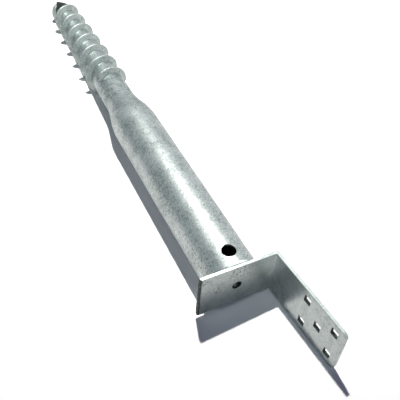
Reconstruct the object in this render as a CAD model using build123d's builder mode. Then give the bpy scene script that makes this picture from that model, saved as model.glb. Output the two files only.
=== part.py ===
"""Foundation ground screw: a swaged tube with a welded helical blade and a folded head bracket.

Millimetres. The screw lies on its side: its axis is Y, from the head plate at the origin to the
point at +Y. The flange of the head bracket stands at +X and reaches back towards -Y. Z is up.
"""
import os
from math import atan, cos, degrees, radians, sin, tan

from build123d import *

# Head bracket, one folded strip of flat bar
plate_thickness = 5.0
plate_overhang = 17.5  # from the tube's side to the plate's free end
flange_gap = 16.5  # from the tube's side to the flange's inner face, at the fold
flange_length = 138.5  # along its inner face, from the plate's outer face
fold_opening = 3.9  # degrees by which the fold is more open than square
fold_inner_radius = 0.8
fold_outer_radius = 3.0
flange_corner_radius = 7.0
shear_rollover = 2.5  # radius that the shear left on the front of the plate's free end
edge_break = 0.5  # sheared edges, eased by the zinc
plate_hole_diameter = 14.0
bolt_hole_size = 12.0  # square, for the neck of a carriage bolt
bolt_hole_corner = 1.0
bolt_hole_pitch = 26.2  # along the flange
bolt_hole_gauge = 45.2  # across the flange
bolt_end_distance = 16.7  # from the last holes to the flange's free end

# Shaft, one tube that is swaged down, tapered and pressed to a point
tube_diameter = 76.0
wall = 3.0
neck_diameter = 53.5
taper_end_diameter = 32.0
shoulder_start = 352.0  # from the plate's outer face, as are the next three
shoulder_end = 434.0
taper_start = 462.0
overall_length = 820.0
point_length = 34.0
shoulder_fullness = 1.1  # how long the swage's curve keeps along the tube at each end
point_corner_diameter = 12.0  # over the corners, at the very end
point_tip_width = 4.4  # over the flats, at the very end
point_turn = 20.0  # degrees that the flats are turned about the axis
cavity_into_point = 20.0
cross_hole_diameter = 20.5
cross_hole_position = 30.0  # from the plate's outer face

# Blade, a steel strip wound on edge round the taper
blade_start = 481.0
blade_pitch = 44.0
blade_overrun = 2.8  # past the start of the point
blade_start_angle = -45.0  # degrees from the top, clockwise seen from the head
blade_reach = 9.6  # from the shaft's surface to the rim
blade_root_gap = 0.05  # so that the strip only just meets the taper it is welded to
blade_root_thickness = 5.2
blade_rim_thickness = 3.6

# Weld round the tube, on the back of the plate
weld_leg = 5.0
weld_proud = 1.0  # above the plate's top edge
weld_relief = 0.5  # short of the plate's lower edge, so that the tube lies on the ground

# Derived places
tube_radius = tube_diameter / 2
strip_width = tube_diameter  # the bracket is as wide as the tube, and lies flat with it
plate_left = tube_radius + plate_overhang
plate_right = tube_radius + flange_gap
point_start = overall_length - point_length
blade_turns = (point_start + blade_overrun - blade_start) / blade_pitch
last_bolt_hole = flange_length - bolt_end_distance
neck_radius = neck_diameter / 2
taper_end_radius = taper_end_diameter / 2
taper_slope = (neck_radius - taper_end_radius) / (point_start - taper_start)
half_strip = strip_width / 2
fold = radians(fold_opening)


def across(y):
    """The plane square to the shaft's axis at y, with local x along +X."""
    return Plane(origin=(0, y, 0), x_dir=(1, 0, 0), z_dir=(0, 1, 0))


# ---------------------------------------------------------------- head_bracket
# The flange's inner face: local x runs from the fold to the free end, and local y is up
flange_face = Plane(
    origin=(plate_right, 0, 0),
    x_dir=(sin(fold), -cos(fold), 0),
    z_dir=(-cos(fold), -sin(fold), 0),
)
fold_setback = plate_thickness * tan((radians(90) - fold) / 2)
flange_end = flange_face.from_local_coords((flange_length, 0, 0))
flange_back = flange_face.from_local_coords((flange_length, 0, -plate_thickness))
outer_fold = flange_face.from_local_coords((-fold_setback, 0, -plate_thickness))

with BuildPart() as head_bracket:
    with BuildSketch(Plane.XY.offset(-half_strip)):
        with BuildLine():
            Polyline(
                (-plate_left, 0),
                (plate_right, 0),
                (flange_end.X, flange_end.Y),
                (flange_back.X, flange_back.Y),
                (outer_fold.X, outer_fold.Y),
                (-plate_left, plate_thickness),
                close=True,
            )
        make_face()
    extrude(amount=strip_width)
    upright = head_bracket.edges().filter_by(Axis.Z)
    fillet(upright.sort_by_distance((outer_fold.X, outer_fold.Y, 0))[0], fold_outer_radius)
    upright = head_bracket.edges().filter_by(Axis.Z)
    fillet(upright.sort_by_distance((plate_right, 0, 0))[0], fold_inner_radius)
    upright = head_bracket.edges().filter_by(Axis.Z)
    fillet(upright.sort_by_distance((-plate_left, 0, 0))[0], shear_rollover)
    free_end = head_bracket.faces().sort_by(Axis.Y)[0]
    fillet(free_end.edges().filter_by(Axis.Z, reverse=True), flange_corner_radius)
    chamfer(head_bracket.faces().filter_by(Axis.Z).edges(), edge_break)
    with BuildSketch(Plane.XZ):
        Circle(plate_hole_diameter / 2)
    extrude(amount=-plate_thickness, mode=Mode.SUBTRACT)
    with BuildSketch(flange_face):
        with Locations((last_bolt_hole - bolt_hole_pitch, 0)):
            RectangleRounded(bolt_hole_size, bolt_hole_size, bolt_hole_corner)
            with GridLocations(2 * bolt_hole_pitch, bolt_hole_gauge, 2, 2):
                RectangleRounded(bolt_hole_size, bolt_hole_size, bolt_hole_corner)
    extrude(amount=-plate_thickness, mode=Mode.SUBTRACT)
head_bracket.part.label = "head_bracket"


# ---------------------------------------------------------------- shaft_tube
def shaft_profile(inset, end_radius, end_y):
    """Half the shaft's section, inset from its outer surface and ended at end_radius, end_y."""
    with BuildLine() as outline:
        head = Line((0, plate_thickness), (tube_radius - inset, plate_thickness))
        barrel = Line(head @ 1, (tube_radius - inset, shoulder_start))
        shoulder = Spline(
            barrel @ 1,
            (neck_radius - inset, shoulder_end),
            tangents=[(0, 1), (0, 1)],
            tangent_scalars=[shoulder_fullness, shoulder_fullness],
        )
        neck = Line(shoulder @ 1, (neck_radius - inset, taper_start))
        taper = Line(neck @ 1, (taper_end_radius - inset, point_start))
        point = Line(taper @ 1, (end_radius, end_y))
        if end_radius > 0:
            point = Line(point @ 1, (0, end_y))
        Line(point @ 1, head @ 0)
    return outline.line


# What the press takes off the cone to leave four flats that meet at the point
flat_slope = (taper_end_radius - point_tip_width / 2) / point_length
with BuildPart() as point_chips:
    with BuildSketch(across(point_start - point_length)):
        Circle(3 * taper_end_radius)
    extrude(amount=3 * point_length)
    with BuildSketch(across(point_start - point_length)):
        side = 2 * (taper_end_radius + flat_slope * point_length)
        Rectangle(side, side, rotation=point_turn)
    with BuildSketch(across(overall_length)):
        Rectangle(point_tip_width, point_tip_width, rotation=point_turn)
    loft(mode=Mode.SUBTRACT)

with BuildPart() as shaft_tube:
    with BuildSketch(Plane.XY):
        add(shaft_profile(0, point_corner_diameter / 2, overall_length))
        make_face()
    revolve(axis=Axis.Y)
    add(point_chips.part, mode=Mode.SUBTRACT)
    with BuildSketch(Plane.XY):
        add(shaft_profile(wall, 0, point_start + cavity_into_point))
        make_face()
    revolve(axis=Axis.Y, mode=Mode.SUBTRACT)
    with BuildSketch(Plane.XY.offset(-tube_radius)):
        with Locations((0, cross_hole_position)):
            Circle(cross_hole_diameter / 2)
    extrude(amount=tube_diameter, mode=Mode.SUBTRACT)
shaft_tube.part.label = "shaft_tube"

# ---------------------------------------------------------------- helical_blade
# The strip's root follows a helix on the taper and its rim runs parallel to it. The section is
# drawn at the top, where the helix starts, and the winding is then turned to its place.
root_half = blade_root_thickness / 2
rim_half = blade_rim_thickness / 2
root_lean = taper_slope * root_half

with BuildPart() as winding:
    with BuildLine() as root_path:
        Helix(
            blade_pitch,
            blade_pitch * blade_turns,
            neck_radius - taper_slope * (blade_start - taper_start) + blade_root_gap,
            center=(0, blade_start, 0),
            direction=(0, 1, 0),
            cone_angle=-degrees(atan(taper_slope)),
        )
    with BuildSketch(Plane(root_path.line @ 0, x_dir=(0, 0, 1), z_dir=root_path.line % 0)):
        with BuildLine():
            Polyline(
                (-root_lean, -root_half),
                (root_lean, root_half),
                (blade_reach, rim_half),
                (blade_reach, -rim_half),
                close=True,
            )
        make_face()
    sweep(is_frenet=True)

with BuildPart() as helical_blade:
    add(winding.part, rotation=(0, blade_start_angle, 0))
helical_blade.part.label = "helical_blade"

# ---------------------------------------------------------------- head_weld
# A fillet bead in the corner between tube and plate: a little proud of the plate's edge on top,
# and broken off underneath, where the tube itself reaches the edge
with BuildPart() as head_weld:
    with BuildSketch(Plane.XY):
        with BuildLine():
            Polyline(
                (tube_radius, plate_thickness + weld_leg),
                (tube_radius, plate_thickness),
                (tube_radius + weld_leg, plate_thickness),
                close=True,
            )
        make_face()
    revolve(axis=Axis.Y)
    split(bisect_by=Plane.XY.offset(half_strip + weld_proud), keep=Keep.BOTTOM)
    split(bisect_by=Plane.XY.offset(weld_relief - half_strip), keep=Keep.TOP)
head_weld.part.label = "head_weld"

os.makedirs("parts", exist_ok=True)
for piece in (head_bracket, shaft_tube, helical_blade, head_weld):
    export_step(piece.part, f"parts/{piece.part.label}.step")
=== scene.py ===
# %% [markdown]
# # A hot-dip galvanised ground screw
#
# The real thing is a steel tube with a blade wound round its lower half and an L-shaped bracket on
# its head, all welded together and then dipped whole in molten zinc. The dip is what the eye reads:
# a cloudy grey skin that rounds every edge, fills the weld corners and leaves drips where it ran off.
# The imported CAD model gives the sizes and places. This script gives the zinc.

# %% Load the frame
from math import cos, pi, radians, sin

import bpy
import numpy as np
from mathutils import Matrix, Vector


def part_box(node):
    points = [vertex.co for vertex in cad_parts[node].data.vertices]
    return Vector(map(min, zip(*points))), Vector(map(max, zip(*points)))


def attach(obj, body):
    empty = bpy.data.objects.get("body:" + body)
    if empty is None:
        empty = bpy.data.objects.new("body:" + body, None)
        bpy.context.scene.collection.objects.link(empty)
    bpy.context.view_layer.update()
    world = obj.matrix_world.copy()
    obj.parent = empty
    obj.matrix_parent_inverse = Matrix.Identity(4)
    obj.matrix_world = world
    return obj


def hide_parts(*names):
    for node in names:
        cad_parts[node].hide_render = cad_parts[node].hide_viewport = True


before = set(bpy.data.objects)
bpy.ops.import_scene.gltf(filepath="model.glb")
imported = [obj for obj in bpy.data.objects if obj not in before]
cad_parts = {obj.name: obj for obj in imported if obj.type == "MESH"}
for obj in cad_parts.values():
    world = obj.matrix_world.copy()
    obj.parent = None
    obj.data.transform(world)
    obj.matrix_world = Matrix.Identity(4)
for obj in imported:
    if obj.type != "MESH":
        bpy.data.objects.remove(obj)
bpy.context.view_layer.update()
MM = 0.001

# %% [markdown]
# ## Colours and nodes
#
# Colours are written as the hex values that a colour picker shows. Cycles works in linear light, so
# one function converts them. Another adds a shader node, sets it up and links its inputs in one call,
# which keeps each material short enough to read as a recipe.

# %% Colour and node helpers


def linear(hex_colour):
    """An sRGB hex colour as linear RGBA."""
    srgb = np.array([int(hex_colour[i:i + 2], 16) for i in (1, 3, 5)]) / 255
    rgb = np.where(srgb <= 0.04045, srgb / 12.92, ((srgb + 0.055) / 1.055) ** 2.4)
    return (*rgb.tolist(), 1.0)


def add_node(tree, kind, inputs=None, **settings):
    """Adds a node, applies its settings, and sets or links its inputs by name or number."""
    node = tree.nodes.new("ShaderNode" + kind)
    for name, value in settings.items():
        setattr(node, name, value)
    for name, value in (inputs or {}).items():
        if isinstance(value, bpy.types.NodeSocket):
            tree.links.new(value, node.inputs[name])
        else:
            node.inputs[name].default_value = value
    return node


def ramp(tree, factor, stops):
    """A colour ramp through (position, linear colour) stops."""
    node = add_node(tree, "ValToRGB", {"Fac": factor})
    elements = node.color_ramp.elements
    while len(elements) < len(stops):
        elements.new(0.5)
    for element, (position, colour) in zip(elements, stops):
        element.position = position
        element.color = colour
    return node.outputs["Color"]


def grey(value):
    """A neutral linear colour, also for the ramps that drive a number."""
    return (value, value, value, 1.0)


def smooth_range(tree, value, low, high):
    """0 at low, 1 at high and an even curve between. low may be the larger of the two."""
    return add_node(tree, "MapRange", {
        "Value": value, "From Min": low, "From Max": high,
    }, interpolation_type="SMOOTHSTEP").outputs["Result"]


def product(tree, first, second):
    """first times second."""
    return add_node(tree, "Math", {0: first, 1: second}, operation="MULTIPLY").outputs["Value"]


def distance_to(tree, place, centre):
    """How far place lies from centre, both in metres."""
    return add_node(tree, "VectorMath", {0: place, 1: centre}, operation="DISTANCE").outputs["Value"]


def empty_material(name):
    """A new material and its node tree, with nothing in it."""
    material = bpy.data.materials.new(name)
    material.use_nodes = True
    material.node_tree.nodes.clear()
    return material, material.node_tree


# %% [markdown]
# ## Hot-dip galvanised steel
#
# Zinc that cools on steel freezes into crystals, the spangle, a few millimetres to a few
# centimetres across. Each crystal reflects a little differently, so the skin looks cloudy, with soft
# patches of light and dark grey and a faint green cast. The surface is a metal through and through,
# so Metallic is 1 and the IOR keeps its default. The roughness is about 0.4, because the skin is
# dull but still shows a broad highlight. The skin is also never flat: it ran as a liquid, so it
# waves by a few tenths of a millimetre, and that breaks the highlight's edges up. Three noises in
# real millimetres on Object coordinates give both the tone and the relief: wide clouds, patches and
# a fine grain. Two more kinds of mark darken it: the rings that swaging left on the neck, drawn by a
# noise squeezed along the tube, and the specks of dross that the bath left in a few places.

# %% Zinc material
CLOUD_SIZE = 36.0  # mm
PATCH_SIZE = 9.0   # mm
GRAIN_SIZE = 2.6   # mm
RING_SIZE = 14.0   # mm
SPECK_SIZE = 3.2   # mm
RING_DEPTH = 0.30  # how far a ring darkens the tone


def noise(tree, place, size_mm, **inputs):
    """A noise on place, in metres, whose features are about size_mm across."""
    return add_node(tree, "TexNoise", {
        "Vector": place, "Scale": 1000.0 / size_mm, **inputs}).outputs["Fac"]


def weighted(tree, terms, start=0.0):
    """start plus the sum of weight * (value - 0.5) over (value, weight) pairs."""
    total = start - 0.5 * sum(weight for _, weight in terms)
    for value, weight in terms:
        total = add_node(tree, "Math", {0: value, 1: weight, 2: total},
                         operation="MULTIPLY_ADD").outputs["Value"]
    return total


def ring_marks(tree, place, start, end):
    """1 in the dark of a ring, from start to end along Y in metres, fading out at both ends."""
    squeezed = add_node(tree, "Mapping", {"Vector": place, "Scale": (1, 5, 1)}).outputs["Vector"]
    ring = noise(tree, squeezed, RING_SIZE, Detail=4.0, Roughness=0.7)
    along = add_node(tree, "SeparateXYZ", {"Vector": place}).outputs["Y"]
    fade_in = smooth_range(tree, along, start, start + 0.07)
    fade_out = smooth_range(tree, along, end, end - 0.02)
    dark = add_node(tree, "MapRange", {
        "Value": ring, "From Min": 0.42, "From Max": 0.72}).outputs["Result"]
    return product(tree, product(tree, fade_in, fade_out), dark)


def speck_marks(tree, place, centre, radius):
    """1 in each speck within radius of centre, both in mm, fewer and paler towards the rim."""
    away = distance_to(tree, place, [value * MM for value in centre])
    near = smooth_range(tree, away, radius * MM, 0.4 * radius * MM)
    speck = add_node(tree, "MapRange", {
        "Value": noise(tree, place, SPECK_SIZE, Detail=2.0), "From Min": 0.52, "From Max": 0.66,
    }).outputs["Result"]
    return product(tree, near, speck)


def zinc(name, dark, middle, light, roughness, clouds=1.0, grain=1.0, relief=1.0, rings=None,
         stains=()):
    """Hot-dip galvanised steel.

    rings is the start and end of the ringed stretch along Y, in metres. stains are patches of specks
    as (centre, radius, depth), in mm, where depth is how far a speck darkens the tone.
    """
    material, tree = empty_material(name)
    place = add_node(tree, "TexCoord").outputs["Object"]
    wide = noise(tree, place, CLOUD_SIZE, Detail=3.0, Distortion=0.5)
    patch = noise(tree, place, PATCH_SIZE, Detail=4.0, Roughness=0.65, Distortion=0.3)
    fine = noise(tree, place, GRAIN_SIZE, Detail=2.0, Roughness=0.7)
    marks = [(speck_marks(tree, place, centre, radius), -depth) for centre, radius, depth in stains]
    if rings:
        marks.append((ring_marks(tree, place, *rings), -RING_DEPTH))
    # weighted() centres every value on 0.5, but a mark is 0 where there is none
    unmarked = 0.5 + 0.5 * sum(weight for _, weight in marks)
    tone = weighted(tree, [(wide, 0.50 * clouds), (patch, 0.45 * clouds), (fine, 1.15 * grain),
                           *marks], unmarked)
    colour = ramp(tree, tone, [(0.24, linear(dark)), (0.5, linear(middle)), (0.76, linear(light))])
    rough = ramp(tree, tone, [(0.3, grey(roughness + 0.05)), (0.7, grey(roughness - 0.04))])
    height = weighted(tree, [(wide, 1.0 * relief), (patch, 0.42 * relief), (fine, 0.13 * relief)])
    bump = add_node(tree, "Bump", {"Strength": 1.0, "Distance": MM, "Height": height})
    shader = add_node(tree, "BsdfPrincipled", {
        "Base Color": colour, "Roughness": rough, "Metallic": 1.0, "Normal": bump.outputs["Normal"],
    })
    add_node(tree, "OutputMaterial", {"Surface": shader.outputs["BSDF"]})
    return material


def dress(node, material):
    """Gives a CAD node's object one material in all its slots."""
    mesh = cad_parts[node].data
    for index in range(max(1, len(mesh.materials))):
        if len(mesh.materials) <= index:
            mesh.materials.append(material)
        mesh.materials[index] = material


shaft_zinc = zinc("hot_dip_zinc_on_tube", "#95A09E", "#D3DBD9", "#F6FAF8", 0.40,
                  clouds=0.9, rings=(0.34, 0.50), stains=[((0, 790, 0), 40, 1.4)])
bracket_zinc = zinc("hot_dip_zinc_on_flat_bar", "#8F9998", "#D6DDDB", "#F1F5F4", 0.33,
                    clouds=0.8, grain=0.4, relief=0.4,
                    stains=[((-53, 0, 34), 11, 1.6), ((2, 0, 24), 20, 0.5), ((-28, 0, 6), 13, 0.4)])
blade_zinc = zinc("thick_zinc_on_blade", "#94A09E", "#CBD4D1", "#E4EAE8", 0.56,
                  clouds=0.9, grain=0.7)
run_zinc = zinc("bright_zinc_run", "#D5DAD8", "#E6EAE8", "#F6F9F8", 0.14, relief=0.3)
dress("shaft_tube", shaft_zinc)
dress("head_bracket", bracket_zinc)

# %% [markdown]
# The plate's sheared end and the walls of the punched holes are coloured dark: painted shade, as these
# faces lie in shadow. The faces are picked by where they lie and which way they look.

# %% Cut faces
# painted shade: a dark colour for the sheared end and the hole walls
cut_face_painted_shade = zinc("painted_shade_on_cut_faces", "#343A39", "#525A58", "#78817E", 0.5, relief=0.5)
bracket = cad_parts["head_bracket"].data
bracket_low, bracket_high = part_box("head_bracket")
ROLLED_EDGE = 2.4 * MM         # the sheared end's rolled edge starts this far in
PLATE_HOLE_RADIUS = 7.2 * MM   # a little over the hole's own, so its wall is inside
BOLT_HOLE_HALF = 6.1           # mm, half a square hole and a little more
FLANGE_OPENING = radians(3.9)  # the fold is this much past a right angle
FLANGE_FOLD = Vector((54.5, 0, 0)) * MM
FLANGE_ALONG = Vector((sin(FLANGE_OPENING), -cos(FLANGE_OPENING), 0))
FLANGE_SQUARE = Vector((cos(FLANGE_OPENING), sin(FLANGE_OPENING), 0))
BOLT_HOLES = [(95.6, 0), (69.4, 22.6), (69.4, -22.6), (121.8, 22.6), (121.8, -22.6)]  # mm


def is_cut(face):
    """Whether a face of the bracket is the sheared end or stands in one of its holes."""
    centre = face.center
    if centre.x < bracket_low.x + ROLLED_EDGE:
        return True
    if centre.y > -1 * MM:
        in_hole = centre.x ** 2 + centre.z ** 2 < PLATE_HOLE_RADIUS ** 2
        return in_hole and abs(face.normal.y) < 0.1
    along = (centre - FLANGE_FOLD).dot(FLANGE_ALONG) / MM
    in_hole = any(abs(along - u) < BOLT_HOLE_HALF and abs(centre.z / MM - v) < BOLT_HOLE_HALF
                  for u, v in BOLT_HOLES)
    return in_hole and abs(face.normal.dot(FLANGE_SQUARE)) < 0.1


def give_faces(mesh, material, chosen):
    """Adds material to mesh and gives it to the faces that chosen picks."""
    mesh.materials.append(material)
    for face in mesh.polygons:
        if chosen(face):
            face.material_index = len(mesh.materials) - 1


give_faces(bracket, cut_face_painted_shade, is_cut)

# The pressed point is painted darker than the rest too: painted shade on its faces
POINT_START = 770 * MM
point_painted_shade = zinc("painted_shade_on_point", "#3C4440", "#626B66", "#A9B2AE", 0.42, clouds=2.0, grain=0.5)
give_faces(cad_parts["shaft_tube"].data, point_painted_shade, lambda face: face.center.y > POINT_START)

# %% [markdown]
# ## Meshes from formulas
#
# Each new piece is a surface worked out with numpy: a grid of points over two parameters, computed
# as whole arrays and written into the mesh in one call. One function makes the mesh. Another joins a
# grid up into a closed piece, round one parameter and with caps at both ends of the other.

# %% Grid to mesh


def smooth_mesh(name, points, faces, material):
    """A smooth-shaded object at the origin from a grid of points and a list of faces."""
    mesh = bpy.data.meshes.new(name)
    mesh.from_pydata(points.reshape(-1, 3).tolist(), [], faces)
    mesh.polygons.foreach_set("use_smooth", np.ones(len(mesh.polygons), bool))
    mesh.materials.append(material)
    mesh.update()
    made = bpy.data.objects.new(name, mesh)
    bpy.context.scene.collection.objects.link(made)
    print(name, len(mesh.vertices), "vertices")
    return made


def surface(name, points, material):
    """A closed piece from points[i, j]. j runs round its section; i runs along it, capped flat."""
    rows, around, _ = points.shape
    i, j = np.meshgrid(np.arange(rows - 1), np.arange(around), indexing="ij")
    k = (j + 1) % around
    quads = np.stack([i * around + j, i * around + k, (i + 1) * around + k, (i + 1) * around + j], -1)
    first_cap = list(range(around))[::-1]
    last_cap = list(range((rows - 1) * around, rows * around))
    piece = smooth_mesh(name, points, [*quads.reshape(-1, 4).tolist(), first_cap, last_cap], material)
    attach(piece, "root")
    return piece


# %% [markdown]
# ## The blade
#
# On the real screw a strip of steel is wound on edge round the taper and welded along its root. In
# the zinc bath the strip grows thick and round, and the zinc fills the corner at its root, so each
# turn looks more like a soft fin than like sheet metal. A helix with a Solidify modifier would keep
# the strip's sharp edges. A section carried along the helix gives the round rim and the filled root
# at once, so that way was chosen. The section's half thickness at a height above the shaft is a
# rounded rim plus a flare that dies away from the root.

# %% Blade sizes
BLADE_START = 481.0 * MM
BLADE_PITCH = 44.0 * MM
BLADE_TURNS = 307.8 / 44
BLADE_START_ANGLE = radians(-45)
BLADE_REACH = 9.6 * MM
RAMP_IN, RAMP_OUT = 0.05, 0.40   # turns over which the strip rises and dies away
RIM_HALF = 2.8 * MM              # half the thickness of the zinc-covered strip
ROOT_FLARE = 3.0 * MM            # what the zinc in the root corner adds to that
ROOT_FADE = 2.6 * MM             # the height over which the flare dies away
RIM_ZINC = 0.6 * MM, 2.0 * MM    # zinc on the rim at the head end and at the point end
RIM_WAVER = 0.35 * MM
ROOT_SINK = 0.5 * MM             # the section starts this far inside the shaft
TAPER_START, TAPER_END = 462.0 * MM, 786.0 * MM
NECK_RADIUS, TAPER_END_RADIUS = 26.75 * MM, 16.0 * MM
TAPER_SLOPE = (NECK_RADIUS - TAPER_END_RADIUS) / (TAPER_END - TAPER_START)


def shaft_radius(y):
    """The shaft's outer radius at y along the taper.

    The last sixth of a turn passes the taper's end. The point narrows faster than this there, so the
    edge of the flare on the point side stands up to 2 mm off the shaft.
    """
    return NECK_RADIUS - TAPER_SLOPE * (y - TAPER_START)


# %% Blade surface


def blade_points(steps_per_turn=72, rim_steps=10):
    """The section is carried along y = start + pitch * turns, at angle = start + 2 pi * turns.

    The section runs from the root up the head side, over the round rim and down the other side.
    At height h its half thickness is rim * sqrt(1 - e^4) + flare * exp(-h / fade), where
    e = h / reach. The zinc runs towards the point, so the blade grows a little on its way there.
    Both ends of the strip run out in a short ramp.
    """
    turns = np.linspace(0, BLADE_TURNS, int(BLADE_TURNS * steps_per_turn))
    quarter = np.sin(np.linspace(0, pi / 2, rim_steps)) ** 0.8
    height = np.concatenate([quarter, quarter[-2::-1]])
    side = np.concatenate([-np.ones(rim_steps), np.ones(rim_steps - 1)])
    rise = np.clip(np.minimum(turns / RAMP_IN, (BLADE_TURNS - turns) / RAMP_OUT), 0, 1)
    ramp_up = 0.25 + 0.75 * np.sin(rise * pi / 2)
    wander = RIM_WAVER * np.sin(turns * 17.3) * np.sin(turns * 5.1 + 1.0)
    grown = RIM_ZINC[0] + (RIM_ZINC[1] - RIM_ZINC[0]) * turns / BLADE_TURNS
    reach = ((BLADE_REACH + grown) * ramp_up + wander)[:, None]
    h = reach * height[None, :]
    body = RIM_HALF * np.sqrt(np.clip(1 - height[None, :] ** 4, 0, 1))
    flare = ROOT_FLARE * np.exp(-h / ROOT_FADE)
    thick = side[None, :] * (body + flare)
    y = BLADE_START + BLADE_PITCH * turns[:, None] + thick
    radius = shaft_radius(BLADE_START + BLADE_PITCH * turns)[:, None] - ROOT_SINK + h
    angle = BLADE_START_ANGLE + 2 * pi * turns[:, None]
    return np.stack([radius * np.sin(angle), y, radius * np.cos(angle)], -1)


blade = surface("galvanised_blade", blade_points(), blade_zinc)
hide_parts("helical_blade")

# %% [markdown]
# ## The weld round the tube
#
# The tube is joined to the plate by a fillet weld that a welder laid by hand. Its face shows the
# ripples of the pool, a few millimetres apart, softened by the zinc. A torus with noise would not
# keep the ripples' even step, so the bead is a quarter-round section carried round the tube, with
# its leg varied by a sine wave and a slow wander.

# %% Weld bead
weld_low, weld_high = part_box("head_weld")
shaft_low, shaft_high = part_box("shaft_tube")
TUBE_RADIUS = (shaft_high.x - shaft_low.x) / 2
PLATE_BACK = weld_low.y
WELD_LEG = weld_high.y - weld_low.y
WELD_SINK = 0.3 * MM         # the bead's root corner lies this far inside tube and plate
WELD_OPENING = radians(11)   # half the gap left under the tube
RIPPLE_PITCH = pi * MM       # from one ripple to the next, 76 of them to a whole turn
FACE_POWER = 1.72            # 2 gives a flat face from leg to leg; less makes it bulge


def weld_points(steps=720, around=10):
    """A bead in the corner r = tube radius, y = plate back, at angle a from the top.

    Its face bulges from one leg to the other, and the leg swells at each ripple. Where the bead
    would stand above or below the plate, its height is held to the CAD bead's box.
    """
    angle = np.linspace(-pi + WELD_OPENING, pi - WELD_OPENING, steps)
    ripple = np.sin(2 * pi * TUBE_RADIUS / RIPPLE_PITCH * angle)
    leg = WELD_LEG * (0.90 + 0.05 * ripple + 0.05 * np.sin(3.1 * angle + 0.7))[:, None]
    t = np.linspace(0, pi / 2, around)[None, :]
    corner = np.full((steps, 1), -WELD_SINK)
    out = np.concatenate([leg * np.cos(t) ** FACE_POWER, corner], 1)
    back = np.concatenate([leg * np.sin(t) ** FACE_POWER, corner], 1)
    radius = TUBE_RADIUS + out
    z = np.clip(radius * np.cos(angle)[:, None], weld_low.z, weld_high.z)
    x = radius * np.sin(angle)[:, None]
    return np.stack([x, PLATE_BACK + back, z], -1)


bead = surface("weld_bead", weld_points(), blade_zinc)
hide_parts("head_weld")

# %% [markdown]
# ## The line of zinc in the fold
#
# Where the bar is folded, zinc gathered in the corner as a thin run that thins out downwards. It froze
# smoother than the flat bar round it, so it mirrors the lit sheet and shows as a bright line.

# %% Run of zinc
RUN_RADIUS = 0.75 * MM
RUN_OUT = 0.35 * MM  # from the corner's two faces to the middle of the run
RUN_END = -16 * MM   # the height where it dies out


def run_points(steps=120, around=16):
    """A thin bead down the inner corner of the fold, its radius wavering and dying out."""
    z = np.linspace(bracket_high.z - 0.8 * MM, RUN_END, steps)[:, None]
    down = np.linspace(0, 1, steps)[:, None]
    waver = 1 + 0.16 * np.sin(26 * down) * np.sin(9 * down + 1)
    radius = np.maximum(RUN_RADIUS * waver * np.sqrt(1 - down ** 3), 0.02 * MM)
    t = 2 * pi * np.arange(around)[None, :] / around
    x = FLANGE_FOLD.x - RUN_OUT + radius * np.cos(t)
    y = -RUN_OUT + radius * np.sin(t)
    return np.stack([x, y, np.broadcast_to(z, x.shape)], -1)


surface("zinc_run_in_fold", run_points(), run_zinc)

# %% [markdown]
# ## Floor, light and camera
#
# The screw lies on a white sheet, held up by the shoulder of the tube, the flange's lower edge and
# the last turn of the blade. The head stands a few millimetres off the sheet and lets light in under
# the plate. The frame's axis follows the tube, so here it is the sheet that slopes: it falls away
# to the left of the head and rises under the taper. One small lamp hangs over the taper and
# throws every shadow outwards from the point below it, and a soft sky fills the rest. Metal mirrors
# what is round it, so the sky that the zinc sees is darker to the left than to the right.

# %% Floor
SHOULDER = 352.0          # mm along Y, where the tube starts to narrow
HEAD_LEVEL = -42.1        # mm, the sheet's height under the head
HIGHEST_AT_HEAD = -38.2   # mm, just below the tube
TAPER_LEVEL = -38.3       # mm, its height where the tube starts to narrow
FAR_LEVEL = -45.1         # mm, its height far from the screw


def smooth_step(value, low, high):
    """0 below low, 1 above high and an even curve between."""
    t = np.clip((value - low) / (high - low), 0, 1)
    return t * t * (3 - 2 * t)


def floor_points(steps=181, size=15.0):
    """The sheet as a grid whose cells are about 10 mm wide at the screw and grow outwards."""
    spread = size * np.sinh(5.5 * np.linspace(-1, 1, steps)) / np.sinh(5.5)
    x, y = np.meshgrid(spread / MM, spread / MM + SHOULDER, indexing="ij")
    under_head = np.minimum(HEAD_LEVEL + 0.072 * x + 0.012 * y, HIGHEST_AT_HEAD)
    side, along = np.clip(x, -120, 60), np.clip(y, SHOULDER, 900)
    under_taper = TAPER_LEVEL + 0.0282 * (along - SHOULDER) - 0.104 * side
    near_tip = smooth_step(y, SHOULDER, 520)
    height = under_head * (1 - near_tip) + under_taper * near_tip
    away = smooth_step(np.maximum(np.abs(x) - 150, np.abs(y - SHOULDER) - 550), 0, 500)
    height = height * (1 - away) + FAR_LEVEL * away
    return np.stack([x, y, height], -1) * MM


def white_floor():
    """Matt white, and over-exposed to the camera as a studio sweep is.

    The lamp is small and near, so its light dies away. Far from the screw the sheet glows by itself
    for the camera, which keeps the background white from every side.
    """
    material, tree = empty_material("matt_white_floor")
    seen = add_node(tree, "LightPath").outputs["Is Camera Ray"]
    colour = add_node(tree, "MixRGB", {"Fac": seen, "Color1": grey(0.92), "Color2": grey(1.5)})
    matt = add_node(tree, "BsdfDiffuse", {"Color": colour.outputs["Color"]})
    place = add_node(tree, "TexCoord").outputs["Object"]
    far = smooth_range(tree, distance_to(tree, place, (0, SHOULDER * MM, 0)), 0.6, 1.0)
    glow = add_node(tree, "Emission", {"Color": grey(1.0), "Strength": 1.0}).outputs["Emission"]
    mixed = add_node(tree, "MixShader", {0: product(tree, seen, far), 1: matt.outputs["BSDF"], 2: glow})
    add_node(tree, "OutputMaterial", {"Surface": mixed.outputs["Shader"]})
    return material


sheet = floor_points()
i, j = np.meshgrid(np.arange(len(sheet) - 1), np.arange(len(sheet) - 1), indexing="ij")
corner = i * len(sheet) + j
quads = np.stack([corner, corner + len(sheet), corner + len(sheet) + 1, corner + 1], -1)
smooth_mesh("floor", sheet, quads.reshape(-1, 4).tolist(), white_floor())

# %% World
SKY_ON_FLOOR = "#404352"
SKY_LEFT = "#8A9496"
SKY_RIGHT = "#CDD2D4"


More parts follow.
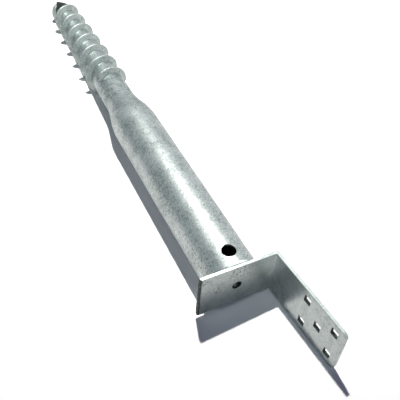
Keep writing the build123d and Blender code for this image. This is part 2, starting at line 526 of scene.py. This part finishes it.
def sky():
    """White to the camera, brighter on the right to the metal, weak and blue-grey to the floor."""
    world = bpy.data.worlds.new("pale_sky")
    world.use_nodes = True
    tree = world.node_tree
    tree.nodes.clear()
    ray = add_node(tree, "LightPath")
    direction = add_node(tree, "TexCoord").outputs["Generated"]
    east = add_node(tree, "SeparateXYZ", {"Vector": direction}).outputs["X"]
    side = add_node(tree, "MapRange", {"Value": east, "From Min": -0.8, "From Max": 0.8})
    mirrored = ramp(tree, side.outputs["Result"], [(0, linear(SKY_LEFT)), (1, linear(SKY_RIGHT))])
    metal = add_node(tree, "MixRGB", {
        "Fac": ray.outputs["Is Glossy Ray"], "Color1": linear(SKY_ON_FLOOR), "Color2": mirrored,
    }).outputs["Color"]
    seen = add_node(tree, "MixRGB", {
        "Fac": ray.outputs["Is Camera Ray"], "Color1": metal, "Color2": grey(1.0),
    }).outputs["Color"]
    glow = add_node(tree, "Background", {"Color": seen, "Strength": 1.0})
    add_node(tree, "OutputWorld", {"Surface": glow.outputs["Background"]})
    bpy.context.scene.world = world


sky()

# %% Lamp
LAMP_PLACE = (0.129, 0.591, 1.488)
LAMP_POWER = 80.0     # W
LAMP_RADIUS = 0.028   # softens the shadows' edges
lamp_data = bpy.data.lights.new("key_lamp", "POINT")
lamp_data.energy = LAMP_POWER
lamp_data.color = linear("#FFFDF9")[:3]
lamp_data.shadow_soft_size = LAMP_RADIUS
key_lamp = bpy.data.objects.new("key_lamp", lamp_data)
key_lamp.matrix_world = Matrix.Translation(LAMP_PLACE)
bpy.context.scene.collection.objects.link(key_lamp)

# %% [markdown]
# ## Camera
#
# The camera stands in front of the bracket, to its left and well above it, and close enough that
# the far point looks small. It looks along the screw at a slight roll.

# %% Camera
CAMERA_AZIMUTH = radians(-29.3)
CAMERA_ELEVATION = radians(45.5)
CAMERA_ROLL = radians(4.7)
CAMERA_PLACE = Vector((-0.2678, -0.3607, 0.6055))
CAMERA_LENS = 51.4


def camera_turn(azimuth, elevation, roll):
    """The camera's axes as columns: right, up and back, rolled about the line of sight."""
    back = Vector((sin(azimuth) * cos(elevation), -cos(azimuth) * cos(elevation), sin(elevation)))
    right = Vector((0, 0, 1)).cross(back).normalized()
    up = back.cross(right)
    rolled_right = cos(roll) * right + sin(roll) * up
    rolled_up = back.cross(rolled_right)
    return Matrix((rolled_right, rolled_up, back)).transposed().to_4x4()


camera_data = bpy.data.cameras.new("camera")
camera_data.lens = CAMERA_LENS
camera_data.sensor_width = 36.0
camera_data.clip_start = 0.01
camera = bpy.data.objects.new("camera", camera_data)
camera.matrix_world = Matrix.Translation(CAMERA_PLACE) @ camera_turn(
    CAMERA_AZIMUTH, CAMERA_ELEVATION, CAMERA_ROLL)
bpy.context.scene.collection.objects.link(camera)
bpy.context.scene.camera = camera
bpy.context.scene.view_settings.view_transform = "Standard"

# %% Update the scene
bpy.context.view_layer.update()
